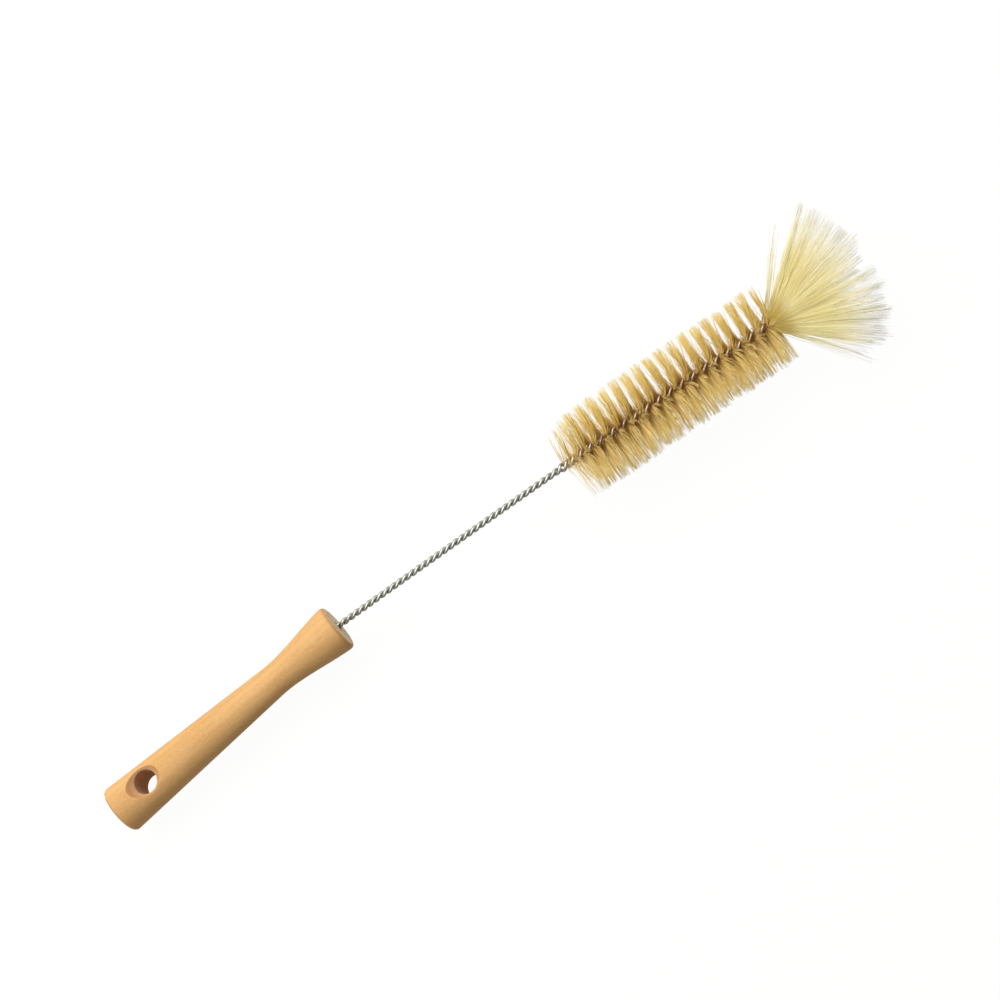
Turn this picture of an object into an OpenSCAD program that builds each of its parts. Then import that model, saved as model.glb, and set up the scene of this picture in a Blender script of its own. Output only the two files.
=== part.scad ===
// Bottle brush: a turned wooden handle, one wire folded in half and twisted into the shank and
// the core of the head, a helical head of bristles pinched between the two strands, and a fan of
// longer bristles held in the fold at the tip.
// It lies on its side on the plane z = 0, with the handle's butt towards -X.

/* [Handle] */
// Length from the butt face to the front face
handle_l = 124; // [110:1:140]
// Diameter at the butt, where the long taper starts
butt_d = 22.2; // [20:0.2:26]
// Diameter where the long taper ends
waist_d = 14.2; // [12:0.2:17]
// Diameter at the front, where the flare ends
front_d = 21.8; // [18:0.2:26]
// Distance from the butt face to the end of the long taper
taper_l = 86; // [70:1:92]
// Radius of the rounded rims at both ends
rim_r = 2; // [0.5:0.1:3]

/* [Hanging hole] */
// Diameter of the cross hole
hole_d = 10.6; // [6:0.2:12]
// Distance of the hole's axis from the butt face
hole_x = 18.5; // [14:0.5:26]
// Roll of the hole away from upright, towards +Y
hole_roll = 21; // [0:1:45]
// Width of the countersink round each mouth of the hole
countersink_w = 2.8; // [1:0.1:3]
// Included angle of the countersink
countersink_a = 90; // [60:5:100]

/* [Wire] */
// Diameter of the wire
wire_d = 1.5; // [1.2:0.1:1.8]
// Length of one full turn of the twist along the bare shank
shank_lead = 6.5; // [5.5:0.1:9]
// Length of one full turn of the twist along the bristle head
head_lead = 11.9; // [11:0.1:15]
// Bare length of the shank, from the handle to the first bristles
shank_l = 118; // [80:1:160]
// Length of the twisted wire inside the handle
socket_l = 34; // [20:1:34]
// Angle at which the shank turns off the handle's axis, towards -Y
mouth_bend = 4.65; // [0:0.05:8]
// Slow further turn towards -Y, from the handle to the tip
drift_bend = 1.5; // [0:0.1:4]

/* [Bristles] */
// Diameter of the bristle head
head_d = 39; // [30:0.5:46]
// Length of the bristle head, up to the tip tuft
head_l = 110; // [70:1:150]
// Thickness of the bristle spiral at its rim
spiral_t = 3.2; // [1.6:0.1:3.6]
// How far the bristle tips are pressed up where the head lies on the table
press_h = 0.6; // [0.2:0.1:1.5]
// Depth of the notches between the clumps of bristle tips
notch_h = 2.2; // [0:0.1:4]

/* [Tip tuft] */
// Length of the tuft's bristles, from the wire's fold to their tips
tuft_l = 50; // [35:1:60]
// Half of the tuft's spread from side to side
tuft_spread = 49; // [20:1:55]
// Height that the tuft spreads to, above the tuft's middle
tuft_rise = 25; // [15:1:40]
// Turn of the tuft's middle off the head's axis, towards -Y
tuft_turn = 4; // [0:1:10]
// Radius of the tuft where it wraps the fold
neck_r = 2.7; // [2.5:0.1:3.5]

/* [Fits] */
// Radial clearance of the twisted wire in the handle
socket_fit = 0.08; // [0.05:0.01:0.15]
// Gap between the two strands along the bare shank
strand_gap = 0.04; // [0.02:0.01:0.1]
// Clearance between the bristles and the wire that pinches them
pinch_fit = 0.18; // [0.15:0.01:0.25]

/* [Hidden] */

butt_r = butt_d / 2;
waist_r = waist_d / 2;
front_r = front_d / 2;
hole_r = hole_d / 2;
wire_r = wire_d / 2;
head_r = head_d / 2;

// Half of the bristle layer that the strands pinch, at the middle of the core
pinch_t = 0.1;
// Distance of a strand's centre from the shank's axis: bare, round the bristles, and at the fold
shank_off = wire_r + strand_gap / 2;
head_off = wire_r + pinch_t + pinch_fit;
fold_spread = 0.15;
fold_off = head_off + fold_spread;
// Radius that the twisted pair fills, and the hole drilled for it
pair_r = shank_off + wire_r;
socket_r = pair_r + socket_fit;
// Straight legs of the wire before the fold, and the clearance of the tuft round them
leg_l = 1.7;
fold_fit = 0.05;
// Length over which the twist opens out at the start of the head
opening_l = 16;
// Lengths over which the strands move apart, up to the first bristles and up to the fold
spread_l = 5;
fold_spread_l = 1.5;
// Length over which the shank turns off the handle's axis
bend_l = 5;

// Stations are lengths along the wire, counted from the handle's front face
s_head = shank_l;
s_fold = shank_l + head_l;
s_leg = s_fold - leg_l;

// Pitch of the handle as the brush lies on its butt rim and its bristles, in degrees
rest_pitch = (head_r - press_h - butt_r) / (handle_l + shank_l / 2) * 180 / PI;
butt_z = (butt_r - rim_r) * cos(rest_pitch) + rim_r * (1 - sin(rest_pitch));
front_centre = [handle_l * cos(rest_pitch), 0, butt_z + handle_l * sin(rest_pitch)];

function unit(v) = v / norm(v);
function mix(a, b, t) = a + (b - a) * t;
function ramp(t) = min(1, max(0, t));

// ---- The line that the wire follows: straight in the handle, turned at the mouth, then a slow curve

function yaw(s) = -mouth_bend * ramp(s / bend_l) - drift_bend * ramp(s / s_fold);
function pitch(s) = rest_pitch * (1 - ramp(s / shank_l));
function along(s) = [cos(pitch(s)) * cos(yaw(s)), cos(pitch(s)) * sin(yaw(s)), sin(pitch(s))];
function side(s) = [-sin(yaw(s)), cos(yaw(s)), 0];
function up(s) = cross(along(s), side(s));

// The line's points, one for each millimetre past the front face
line_end = ceil(s_fold) + 2;
LINE = [for (s = 0, p = front_centre; s <= line_end; p = p + along(s + 0.5), s = s + 1) p];
function at(s) = s <= 0 ? front_centre + s * along(0)
    : mix(LINE[floor(s)], LINE[floor(s) + 1], s - floor(s));

// ---- The twist: left-handed, opening from the shank's lead to the head's

function lead(s) = 1 / mix(1 / shank_lead, 1 / head_lead, ramp((s - s_head) / opening_l));
function turns(s) = let (o = max(0, min(s - s_head, opening_l)), h = max(0, s - s_head - opening_l))
    (s - h) / shank_lead + (1 / head_lead - 1 / shank_lead) * o * o / (2 * opening_l) + h / head_lead;
// Angle of the first strand round the line, from +side towards up; it is on top at the fold
function strand_angle(s) = 90 + 360 * (turns(s_leg) - turns(min(s, s_leg)));
function off(s) = shank_off + (head_off - shank_off) * ramp((s - s_head + spread_l) / spread_l)
    + (fold_off - head_off) * ramp((s - s_leg + fold_spread_l) / fold_spread_l);
function radial(s, a) = cos(a) * side(s) + sin(a) * up(s);

// ---- A closed skin over a list of rings with the same even number of points

function skin_faces(rings, n) = concat(
    [for (i = [0 : rings - 2], j = [0 : n - 1]) let (a = i * n + j, b = i * n + (j + 1) % n)
        each [[a, a + n, b + n], [a, b + n, b]]],
    [for (i = [0 : n / 2 - 2]) each [[i, i + 1, n - 2 - i], [i, n - 2 - i, n - 1 - i]]],
    [for (i = [0 : n / 2 - 2]) let (e = (rings - 1) * n)
        each [[e + i, e + n - 2 - i, e + i + 1], [e + i, e + n - 1 - i, e + n - 2 - i]]]);

module skin(rings) {
    polyhedron(points = [for (ring = rings) each ring], faces = skin_faces(len(rings), len(rings[0])));
}

// ---- Handle

function arc(centre, r, from, to, steps) =
    [for (i = [0 : steps]) let (a = mix(from, to, i / steps)) centre + r * [cos(a), sin(a)]];
function bezier(a, b, c, d, steps) =
    [for (i = [0 : steps]) let (t = i / steps, u = 1 - t)
        u * u * u * a + 3 * u * u * t * b + 3 * u * t * t * c + t * t * t * d];

// Half section of the turned handle, as [radius, length]: butt rim, long taper, flare, front rim
rim_steps = 8;
flare_steps = 18;
taper_slope = (waist_r - butt_r) / taper_l;
flare_exit_slope = 0.08;
flare_l = handle_l - rim_r - taper_l;
flare_start = [waist_r, taper_l];
flare_end = [front_r, handle_l - rim_r];
handle_section = concat(
    [[0, 0]],
    arc([butt_r - rim_r, rim_r], rim_r, -90, 0, rim_steps),
    bezier(flare_start, flare_start + flare_l / 3 * [taper_slope, 1],
           flare_end - flare_l / 3 * [flare_exit_slope, 1], flare_end, flare_steps),
    arc([front_r - rim_r, handle_l - rim_r], rim_r, 10, 90, rim_steps),
    [[0, handle_l]]);

// The hole's mouths lie about where its axis leaves the tapered body
mouth_r = mix(butt_r, waist_r, hole_x / taper_l);
countersink_h = countersink_w / tan(countersink_a / 2);
// Room that a cutter runs past the wood
cut = 3;

module hanging_hole() {
    translate([0, 0, hole_x]) rotate([0, 0, -hole_roll]) rotate([0, 90, 0]) {
        cylinder(h = 2 * (mouth_r + cut), r = hole_r, center = true);
        for (turn = [0, 180])
            rotate([turn, 0, 0]) translate([0, 0, mouth_r - countersink_h])
                cylinder(h = countersink_h + cut, r1 = hole_r,
                         r2 = hole_r + (countersink_h + cut) * tan(countersink_a / 2));
    }
}

// Blind hole for the twisted wire, with a drill point at its end and a chamfered mouth
socket_spare = 2;
mouth_chamfer = 0.8;
module wire_socket() {
    depth = socket_l + socket_spare;
    translate([0, 0, handle_l - depth]) cylinder(h = depth + cut, r = socket_r);
    translate([0, 0, handle_l - depth - socket_r / 2]) cylinder(h = socket_r / 2, r1 = 0, r2 = socket_r);
    translate([0, 0, handle_l - mouth_chamfer])
        cylinder(h = mouth_chamfer + cut, r1 = socket_r, r2 = socket_r + mouth_chamfer + cut);
}

module handle() {
    color([0.87, 0.68, 0.43]) centred()
        translate([0, 0, butt_z]) rotate([0, 90 - rest_pitch, 0])
            difference() {
                rotate_extrude($fn = 96) polygon(handle_section);
                hanging_hole($fn = 64);
                wire_socket($fn = 48);
            }
}

// ---- Twisted wire: down one strand, round the fold and back along the other, as one swept tube

wire_sides = 6;
rings_per_turn = 8;
fold_steps = 6;
// Both strands share these stations
strand_stations = concat(
    [for (s = -socket_l; s < s_leg - shank_lead / rings_per_turn / 2; s = s + lead(s) / rings_per_turn) s],
    [s_leg, s_fold]);

function ring(centre, e1, e2) = [for (k = [0 : wire_sides - 1]) let (a = 360 * (k + 0.5) / wire_sides)
    centre + wire_r * (cos(a) * e1 + sin(a) * e2)];
function strand_point(s, turn) = at(s) + off(s) * radial(s, strand_angle(s) + turn);
// Direction of a helical strand: forward, less the sideways run of its left-handed turn
function strand_dir(s, turn) = s >= s_leg ? along(s)
    : unit(along(s) - 2 * PI * off(s) / lead(s) * radial(s, strand_angle(s) + turn + 90));
function strand_ring(s, turn, way) = let (e1 = radial(s, strand_angle(s) + turn))
    ring(strand_point(s, turn), e1, cross(way * strand_dir(s, turn), e1));
function fold_ring(a) = let (d = radial(s_fold, 90), t = along(s_fold), b = cross(t, d))
    ring(at(s_fold) + fold_off * (cos(a) * d + sin(a) * t), cos(a) * d + sin(a) * t, b);

last_station = len(strand_stations) - 1;
wire_rings = concat(
    [for (s = strand_stations) strand_ring(s, 0, 1)],
    [for (i = [1 : fold_steps - 1]) fold_ring(180 * i / fold_steps)],
    [for (i = [0 : last_station]) strand_ring(strand_stations[last_station - i], 180, -1)]);

module twisted_wire() {
    color([0.72, 0.73, 0.72]) centred() skin(wire_rings);
}

// ---- Bristle head: a two-sided spiral sheet, thin between the strands and thick at its rim

steps_per_turn = 30;
core_w = 1.3;
// The last bristles stand this far short of the wire's legs
spiral_gap = 0.3;
s_spiral = s_leg - spiral_gap;
spiral_stations = [for (s = s_head; s < s_spiral; s = s + lead(s) / steps_per_turn) s];
// The first turn is shorter, and its tips lean forward
start_l = 15;
start_short = 0.12;
start_lean = 2;
// The rim stays this far clear of the next turn, where the twist is still tight
rim_gap = 0.3;
ragged = 0.8;
spiral_seed = 11;
raggedness = rands(0, ragged, 2 * len(spiral_stations), spiral_seed);
function spiral_reach(i, way) = let (s = spiral_stations[i])
    head_r * (1 - start_short * (1 - ramp((s - s_head) / start_l)))
    - notch_h * (i % 2) - raggedness[2 * i + (way > 0 ? 1 : 0)];
// The table presses up the tips that would pass below it
function on_table(p) = [p.x, p.y, max(0, p.z)];

// A point of the sheet: rho out along the bristles, and h off the sheet along its normal
function sheet_point(s, rho, h) = let (
        a = strand_angle(s) + 90,
        d = radial(s, a),
        b = radial(s, a + 90),
        rate = -2 * PI / lead(s),
        n = unit(b - rho * rate * along(s)),
        lean = start_lean * (1 - ramp((s - s_head) / start_l)) * abs(rho) / head_r)
    on_table(at(s) + rho * d + h * n + lean * along(s));
// Half of the rim's thickness: turns that lean forward stand closer together at their tips
function rim_half(s) = min(spiral_t, lead(s) / 2 * (1 - start_lean / start_l) - rim_gap) / 2;
function spiral_ring(i) = let (
        s = spiral_stations[i],
        p = spiral_reach(i, 1),
        q = spiral_reach(i, -1),
        t = rim_half(s))
    [sheet_point(s, p, t), sheet_point(s, core_w, pinch_t),
     sheet_point(s, -core_w, pinch_t), sheet_point(s, -q, t),
     sheet_point(s, -q, -t), sheet_point(s, -core_w, -pinch_t),
     sheet_point(s, core_w, -pinch_t), sheet_point(s, p, -t)];
spiral_rings = [for (i = [0 : len(spiral_stations) - 1]) spiral_ring(i)];

module head_bristles() {
    color([0.80, 0.66, 0.40]) centred() skin(spiral_rings);
}

// ---- Tip tuft: a flattened cone of bristles, fluted into clumps, doubled over the wire's fold

clumps = 20;
tuft_sides = 2 * clumps;
flute = 0.1;
tuft_ragged = 0.1;
tuft_seed = 5;
// Half of the spread downwards; the table presses up what would pass below it
tuft_drop = 21;
// The tuft's neck starts this far along the wire's legs
tuft_gap = 0.2;
s_tuft = s_leg + tuft_gap;
tuft_base = at(s_fold);
// Share of the bristles' length at each ring on the way out, and of the spread on the way in
out_steps = [0.06, 0.2, 0.5, 0.8, 1];
in_steps = [0.72, 0.45, 0.18];
tuft_noise = rands(0, tuft_ragged, tuft_sides * (len(in_steps) + 1), tuft_seed);

function fan_dir(a, e) = let (t = along(s_fold), w = side(s_fold), u = up(s_fold))
    cos(e) * (cos(a) * t + sin(a) * w) + sin(e) * u;
// A point on bristle j, at the share f of its length, with its spread narrowed by k
function fan_point(j, f, k) = let (
        phi = 360 * j / tuft_sides,
        fluted = k * (1 - flute * f * (j % 2)),
        a = -tuft_turn + fluted * tuft_spread * cos(phi),
        e = fluted * (sin(phi) > 0 ? tuft_rise : tuft_drop) * sin(phi),
        row = k == 1 ? 0 : 1 + search(k, in_steps)[0],
        l = tuft_l * f * (1 - (f == 1 ? tuft_noise[row * tuft_sides + j] : 0)))
    on_table(tuft_base + neck_r * k * radial(s_fold, phi) + l * fan_dir(a, e));
function neck_ring(s, r) = [for (j = [0 : tuft_sides - 1]) at(s) + r * radial(s, 360 * j / tuft_sides)];
tuft_rings = concat(
    [neck_ring(s_tuft, neck_r)],
    [for (f = out_steps) [for (j = [0 : tuft_sides - 1]) fan_point(j, f, 1)]],
    [for (k = in_steps) [for (j = [0 : tuft_sides - 1]) fan_point(j, 1, k)]]);

// Room for the wire's legs and fold, which the tuft's bristles wrap
module fold_room() {
    r = wire_r + fold_fit;
    legs = s_fold - s_tuft + cut;
    translate(at(s_fold)) rotate([0, 0, yaw(s_fold)]) {
        for (z = [-fold_off, fold_off])
            translate([-legs, 0, z]) rotate([0, 90, 0]) cylinder(h = legs, r = r, $fn = 32);
        rotate([90, 0, 0]) rotate([0, 0, -90]) rotate_extrude(angle = 180, $fn = 48)
            translate([fold_off, 0]) circle(r, $fn = 32);
    }
}

module tip_tuft() {
    color([0.89, 0.84, 0.60]) centred() difference() {
        skin(tuft_rings);
        fold_room();
    }
}

// ---- Origin: below the middle of the brush's box, on the table

soft_points = concat([for (r = spiral_rings) each r], [for (r = tuft_rings) each r]);
butt_x = rim_r * (cos(rest_pitch) - 1) - (butt_r - rim_r) * sin(rest_pitch);
x_low = min(butt_x, min([for (p = soft_points) p.x]));
x_high = max([for (p = soft_points) p.x]);
y_low = min(-butt_r, min([for (p = soft_points) p.y]));
y_high = max(butt_r, max([for (p = soft_points) p.y]));

module centred() {
    translate([-(x_low + x_high) / 2, -(y_low + y_high) / 2, 0]) children();
}

handle();
twisted_wire();
head_bristles();
tip_tuft();
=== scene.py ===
# %% [markdown]
# # A bottle brush
# A bottle brush is four things: a turned wooden handle, one steel wire folded in half and twisted,
# short bristles pinched in the twist, and a tuft of long bristles held in the fold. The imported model
# gives their places and sizes. This notebook gives each one its real surface, and lights it.

import bpy
import numpy as np
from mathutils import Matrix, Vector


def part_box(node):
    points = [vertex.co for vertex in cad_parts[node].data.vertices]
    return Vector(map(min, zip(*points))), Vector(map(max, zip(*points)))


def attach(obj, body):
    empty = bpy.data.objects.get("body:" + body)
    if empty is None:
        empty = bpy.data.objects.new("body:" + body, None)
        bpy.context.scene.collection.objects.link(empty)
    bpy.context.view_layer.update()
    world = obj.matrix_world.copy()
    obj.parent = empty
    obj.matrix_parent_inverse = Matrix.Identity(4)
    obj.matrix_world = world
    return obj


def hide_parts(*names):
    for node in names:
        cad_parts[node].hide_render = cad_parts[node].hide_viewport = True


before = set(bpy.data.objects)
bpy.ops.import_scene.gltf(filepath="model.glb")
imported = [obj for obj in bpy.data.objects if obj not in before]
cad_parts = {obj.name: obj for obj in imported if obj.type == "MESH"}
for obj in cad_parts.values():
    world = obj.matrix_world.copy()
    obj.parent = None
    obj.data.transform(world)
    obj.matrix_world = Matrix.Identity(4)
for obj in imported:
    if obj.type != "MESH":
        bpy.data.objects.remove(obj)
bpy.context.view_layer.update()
print("CAD nodes:", sorted(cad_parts))

# %% [markdown]
# ## Sizes
# Everything below is worked out in millimetres from the same driving sizes as the construction, and
# becomes metres only when a mesh is written. The brush lies on the table, so its handle is pitched up
# a little: the butt's rim is lower than the head's bristles. The handle's box gives the place of the
# handle's axis in the shared frame. One size differs on purpose: in the head the two strands stand
# farther apart than in the construction, because the bristles pressed between them are shown here.

# %% Driving sizes, in millimetres and degrees
MM = 0.001
HANDLE_L, BUTT_R, WAIST_R, FRONT_R, TAPER_L, RIM_R = 124.0, 11.1, 7.1, 10.9, 86.0, 2.0
HOLE_R, HOLE_X, HOLE_ROLL, COUNTERSINK_W, COUNTERSINK_A = 5.3, 18.5, 21.0, 2.8, 90.0
WIRE_R, SHANK_LEAD, HEAD_LEAD, SHANK_L, SOCKET_L = 0.75, 6.5, 11.9, 118.0, 34.0
MOUTH_BEND, DRIFT_BEND, BEND_L = 4.65, 1.5, 5.0
HEAD_R, HEAD_L, PRESS_H = 19.5, 110.0, 0.6
TUFT_L, TUFT_SPREAD, TUFT_RISE, TUFT_DROP, TUFT_TURN = 50.0, 49.0, 25.0, 21.0, 4.0
SHANK_OFF, HEAD_OFF, FOLD_OFF = 0.77, 1.4, 1.3
LEG_L, OPENING_L, SPREAD_L, FOLD_SPREAD_L, SOCKET_R = 1.7, 16.0, 5.0, 1.5, 1.6

S_HEAD, S_FOLD = SHANK_L, SHANK_L + HEAD_L
S_LEG = S_FOLD - LEG_L
PITCH = (HEAD_R - PRESS_H - BUTT_R) / (HANDLE_L + SHANK_L / 2)
BUTT_Z = (BUTT_R - RIM_R) * np.cos(PITCH) + RIM_R * (1 - np.sin(PITCH))
handle_low, handle_high = (np.array(corner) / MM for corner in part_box("handle"))
BUTT_X = handle_low[0] - RIM_R * (np.cos(PITCH) - 1) + (BUTT_R - RIM_R) * np.sin(PITCH)
BUTT = np.array([BUTT_X, (handle_low[1] + handle_high[1]) / 2, BUTT_Z])
HANDLE_DIR = np.array([np.cos(PITCH), 0.0, np.sin(PITCH)])
HANDLE_UP = np.array([-np.sin(PITCH), 0.0, np.cos(PITCH)])
HANDLE_SIDE = np.array([0.0, 1.0, 0.0])
print("butt face centre", BUTT.round(2), "pitch", np.degrees(PITCH).round(2))

# %% [markdown]
# ## Camera
# The brush is seen from straight above, through a longish lens, and runs from the lower left to the
# upper right of a square picture. The camera hangs over a point between handle and head; it is turned
# about its own line of sight, so that the handle's axis leans by the roll below.

# %% Camera
CAMERA_AT = BUTT + np.array([211.5, -3.4, 960.4 - BUTT_Z])
CAMERA_ROLL = 40.256
FOCAL_SHARE = 2.205
SENSOR = 36.0

camera_data = bpy.data.cameras.new("camera")
camera_data.sensor_width = SENSOR
camera_data.lens = SENSOR * FOCAL_SHARE
camera = bpy.data.objects.new("camera", camera_data)
bpy.context.scene.collection.objects.link(camera)
camera.location = CAMERA_AT * MM
camera.rotation_euler = (0.0, 0.0, -np.radians(CAMERA_ROLL))
bpy.context.scene.camera = camera
print("camera at", (CAMERA_AT * MM).round(4))

# %% [markdown]
# ## Meshes from arrays
# Every piece is a surface worked out as whole arrays: a grid of points, rows along the piece and
# columns round it. One helper turns a grid of point numbers into quads, and joins its last column to
# its first, because every surface here goes all the way round. Another writes the points, with any
# lists of quads and end caps, as one mesh.

# %% Mesh helpers
def unit(v):
    """v divided by its length, row by row."""
    return v / np.linalg.norm(v, axis=-1, keepdims=True)


def ramp(t):
    """t held between 0 and 1."""
    return np.clip(t, 0.0, 1.0)


def smooth(t):
    """Smooth step: 3t² - 2t³ with t held between 0 and 1."""
    t = ramp(t)
    return t * t * (3 - 2 * t)


def quads_of(numbers):
    """Corners of the quads between neighbours in a grid of point numbers, rows by columns.

    A quad's outside is where (step to the next row) x (step to the next column) points.
    """
    numbers = np.concatenate([numbers, numbers[:, :1]], axis=1)
    a, b, c, d = numbers[:-1, :-1], numbers[1:, :-1], numbers[1:, 1:], numbers[:-1, 1:]
    return np.stack([a, b, c, d], axis=-1).reshape(-1, 4)


def add_piece(name, points, polygons, attributes=None, sharp_angle=None):
    """Makes a mesh object from points in millimetres and lists of corner numbers."""
    mesh = bpy.data.meshes.new(name)
    sizes = np.concatenate([np.full(len(p), p.shape[1]) for p in polygons])
    corners = np.concatenate([p.ravel() for p in polygons]).astype(np.int32)
    starts = np.concatenate([[0], np.cumsum(sizes)[:-1]]).astype(np.int32)
    mesh.vertices.add(len(points))
    mesh.vertices.foreach_set("co", (points * MM).astype(np.float32).ravel())
    mesh.loops.add(len(corners))
    mesh.loops.foreach_set("vertex_index", corners)
    mesh.polygons.add(len(sizes))
    mesh.polygons.foreach_set("loop_start", starts)
    mesh.update(calc_edges=True)
    mesh.validate()
    mesh.polygons.foreach_set("use_smooth", np.ones(len(mesh.polygons), bool))
    for key, values in (attributes or {}).items():
        layer = mesh.attributes.new(key, "FLOAT", "POINT")
        layer.data.foreach_set("value", values.astype(np.float32).ravel())
    if sharp_angle is not None:
        mesh.set_sharp_from_angle(angle=np.radians(sharp_angle))
    piece = bpy.data.objects.new(name, mesh)
    bpy.context.scene.collection.objects.link(piece)
    triangles = int((sizes - 2).sum())
    print(f"{name}: {len(points)} points, {triangles} triangles")
    return piece


# %% [markdown]
# ## Materials as expressions
# A finish is a few sums and products of patterns. A small class wraps a node's output, so that
# `1 - mask * 0.3` adds the Math nodes by itself. Colours go through Mix nodes instead, because a Math
# node turns a colour grey. Any other node comes from one method, `node`, that takes a node's type, its
# settings and the values or links of its sockets. The brush, the table and the sky all use it.

# %% A wrapped socket and a finish
class Value:
    """A number that changes over a surface; arithmetic on it adds Math nodes."""

    def __init__(self, finish, socket):
        self.finish, self.socket = finish, socket

    def math(self, operation, a, b):
        """a and b through one Math node; each is a number or a wrapped socket."""
        return self.finish.node("ShaderNodeMath", {"operation": operation}, {0: a, 1: b}).out()

    def __add__(self, other):
        return self.math("ADD", self, other)

    def __mul__(self, other):
        return self.math("MULTIPLY", self, other)

    def __sub__(self, other):
        return self.math("SUBTRACT", self, other)

    def __rsub__(self, other):
        return self.math("SUBTRACT", other, self)

    __radd__, __rmul__ = __add__, __mul__


class Made:
    """A node that was just added, and its outputs as wrapped sockets."""

    def __init__(self, finish, made):
        self.finish, self.made = finish, made

    def out(self, key=0):
        """The output with this number or name."""
        return Value(self.finish, self.made.outputs[key])


class Nodes:
    """A node tree, and the ways to add to it."""

    def __init__(self, tree):
        self.tree = tree

    def node(self, kind, settings=None, inputs=None):
        """Adds a node: first its settings, then the values or links of its inputs."""
        made = self.tree.nodes.new(kind)
        for key, value in (settings or {}).items():
            setattr(made, key, value)
        for key, value in (inputs or {}).items():
            self.feed(made.inputs[key], value)
        return Made(self, made)

    def feed(self, socket, value):
        """Links a wrapped value to a socket, or writes a plain one into it."""
        if isinstance(value, Value):
            self.tree.links.new(value.socket, socket)
        else:
            socket.default_value = value

    def attribute(self, name):
        """A number stored on the piece's own points."""
        return self.node("ShaderNodeAttribute", {"attribute_name": name}).out("Fac")

    def place(self, turn=(0, 0, 0), at=(0, 0, 0)):
        """Object coordinates in metres, first turned by turn, in radians, and then moved by at."""
        here = self.node("ShaderNodeTexCoord").out("Object")
        return self.node("ShaderNodeMapping", {"vector_type": "POINT"},
                         {"Vector": here, "Rotation": turn, "Location": at}).out()

    def noise(self, vector, scale=1.0, detail=2.0, roughness=0.5):
        """Cloudy noise round 0.5, with about scale features for each unit of the vector."""
        return self.node("ShaderNodeTexNoise", {}, {
            "Vector": vector, "Scale": scale, "Detail": detail, "Roughness": roughness}).out("Fac")

    def largest(self, *values):
        """The largest of some numbers."""
        top = values[0]
        for value in values[1:]:
            top = top.math("MAXIMUM", top, value)
        return top

    def steps(self, value, low, high, to_low=0.0):
        """value from low to high becomes to_low to 1, held at its ends, with soft corners."""
        return self.node("ShaderNodeMapRange", {"interpolation_type": "SMOOTHSTEP"}, {
            "Value": value, "From Min": low, "From Max": high, "To Min": to_low, "To Max": 1.0}).out()

    def mix(self, mask, a, b):
        """Colour (1 - mask) a + mask b. A Mix node keeps its colour sockets at 6 and 7, and out 2."""
        return self.node("ShaderNodeMix", {"data_type": "RGBA"}, {0: mask, 6: a, 7: b}).out(2)


class Finish(Nodes):
    """A material with one Principled shader, and the nodes that feed it."""

    def __init__(self, name, **constants):
        self.material = bpy.data.materials.new(name)
        self.material.use_nodes = True
        super().__init__(self.material.node_tree)
        self.shader = self.tree.nodes["Principled BSDF"]
        for key, value in constants.items():
            self.shader.inputs[key.replace("_", " ")].default_value = value

    def shade(self, **links):
        """Feeds the shader's sockets, each named with _ for a space."""
        for key, value in links.items():
            self.feed(self.shader.inputs[key.replace("_", " ")], value)

    def bump(self, height, distance):
        """Bends the normal as if height 1 stood this distance, in metres, off the surface."""
        self.shade(Normal=self.node("ShaderNodeBump", {}, {
            "Height": height, "Distance": distance, "Strength": 1.0}).out())


def rgb(red, green, blue):
    """A colour as it looks on screen, 0 to 255, turned into the shader's linear values.

    With c from 0 to 1, the linear value is c / 12.92 up to 0.04045, and ((c + 0.055) / 1.055)^2.4 above.
    """
    c = np.array([red, green, blue]) / 255
    linear = np.where(c <= 0.04045, c / 12.92, ((c + 0.055) / 1.055) ** 2.4)
    return (*linear.tolist(), 1.0)


# %% [markdown]
# ## The handle
# A turned handle is a profile spun round an axis, so its skin is a grid: points of the profile along
# it, angles round it. The hanging hole is the hard part. A Boolean could cut it, but it would leave
# slivers and a knife edge. Instead a window is left out of the grid on both sides, and a patch of rays
# fills it, from the window's border in to the hole. Each point of a patch is lifted onto the lower of
# two surfaces, the turned skin and the cone of the countersink, and the two are blended where they
# cross, as sanding does. A tube joins the two patches and is the wall of the hole. Each point also
# keeps three numbers for the finish: how deep it lies in the hole, how much of it is sawn end, and how
# near it is to the lines round the two rims.

# %% Handle: the turned profile, as length from the butt and radius
def arc(centre, radius, start, end, steps):
    """Points of a circular arc, from angle start to angle end in degrees."""
    a = np.radians(np.linspace(start, end, steps))
    return np.array(centre) + radius * np.stack([np.cos(a), np.sin(a)], axis=-1)


def bezier(a, b, c, d, steps):
    """Points of the cubic (1-t)³a + 3(1-t)²t b + 3(1-t)t² c + t³d."""
    t = np.linspace(0, 1, steps)[:, None]
    a, b, c, d = (np.array(p) for p in (a, b, c, d))
    return (1 - t) ** 3 * a + 3 * (1 - t) ** 2 * t * b + 3 * (1 - t) * t * t * c + t ** 3 * d


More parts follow.
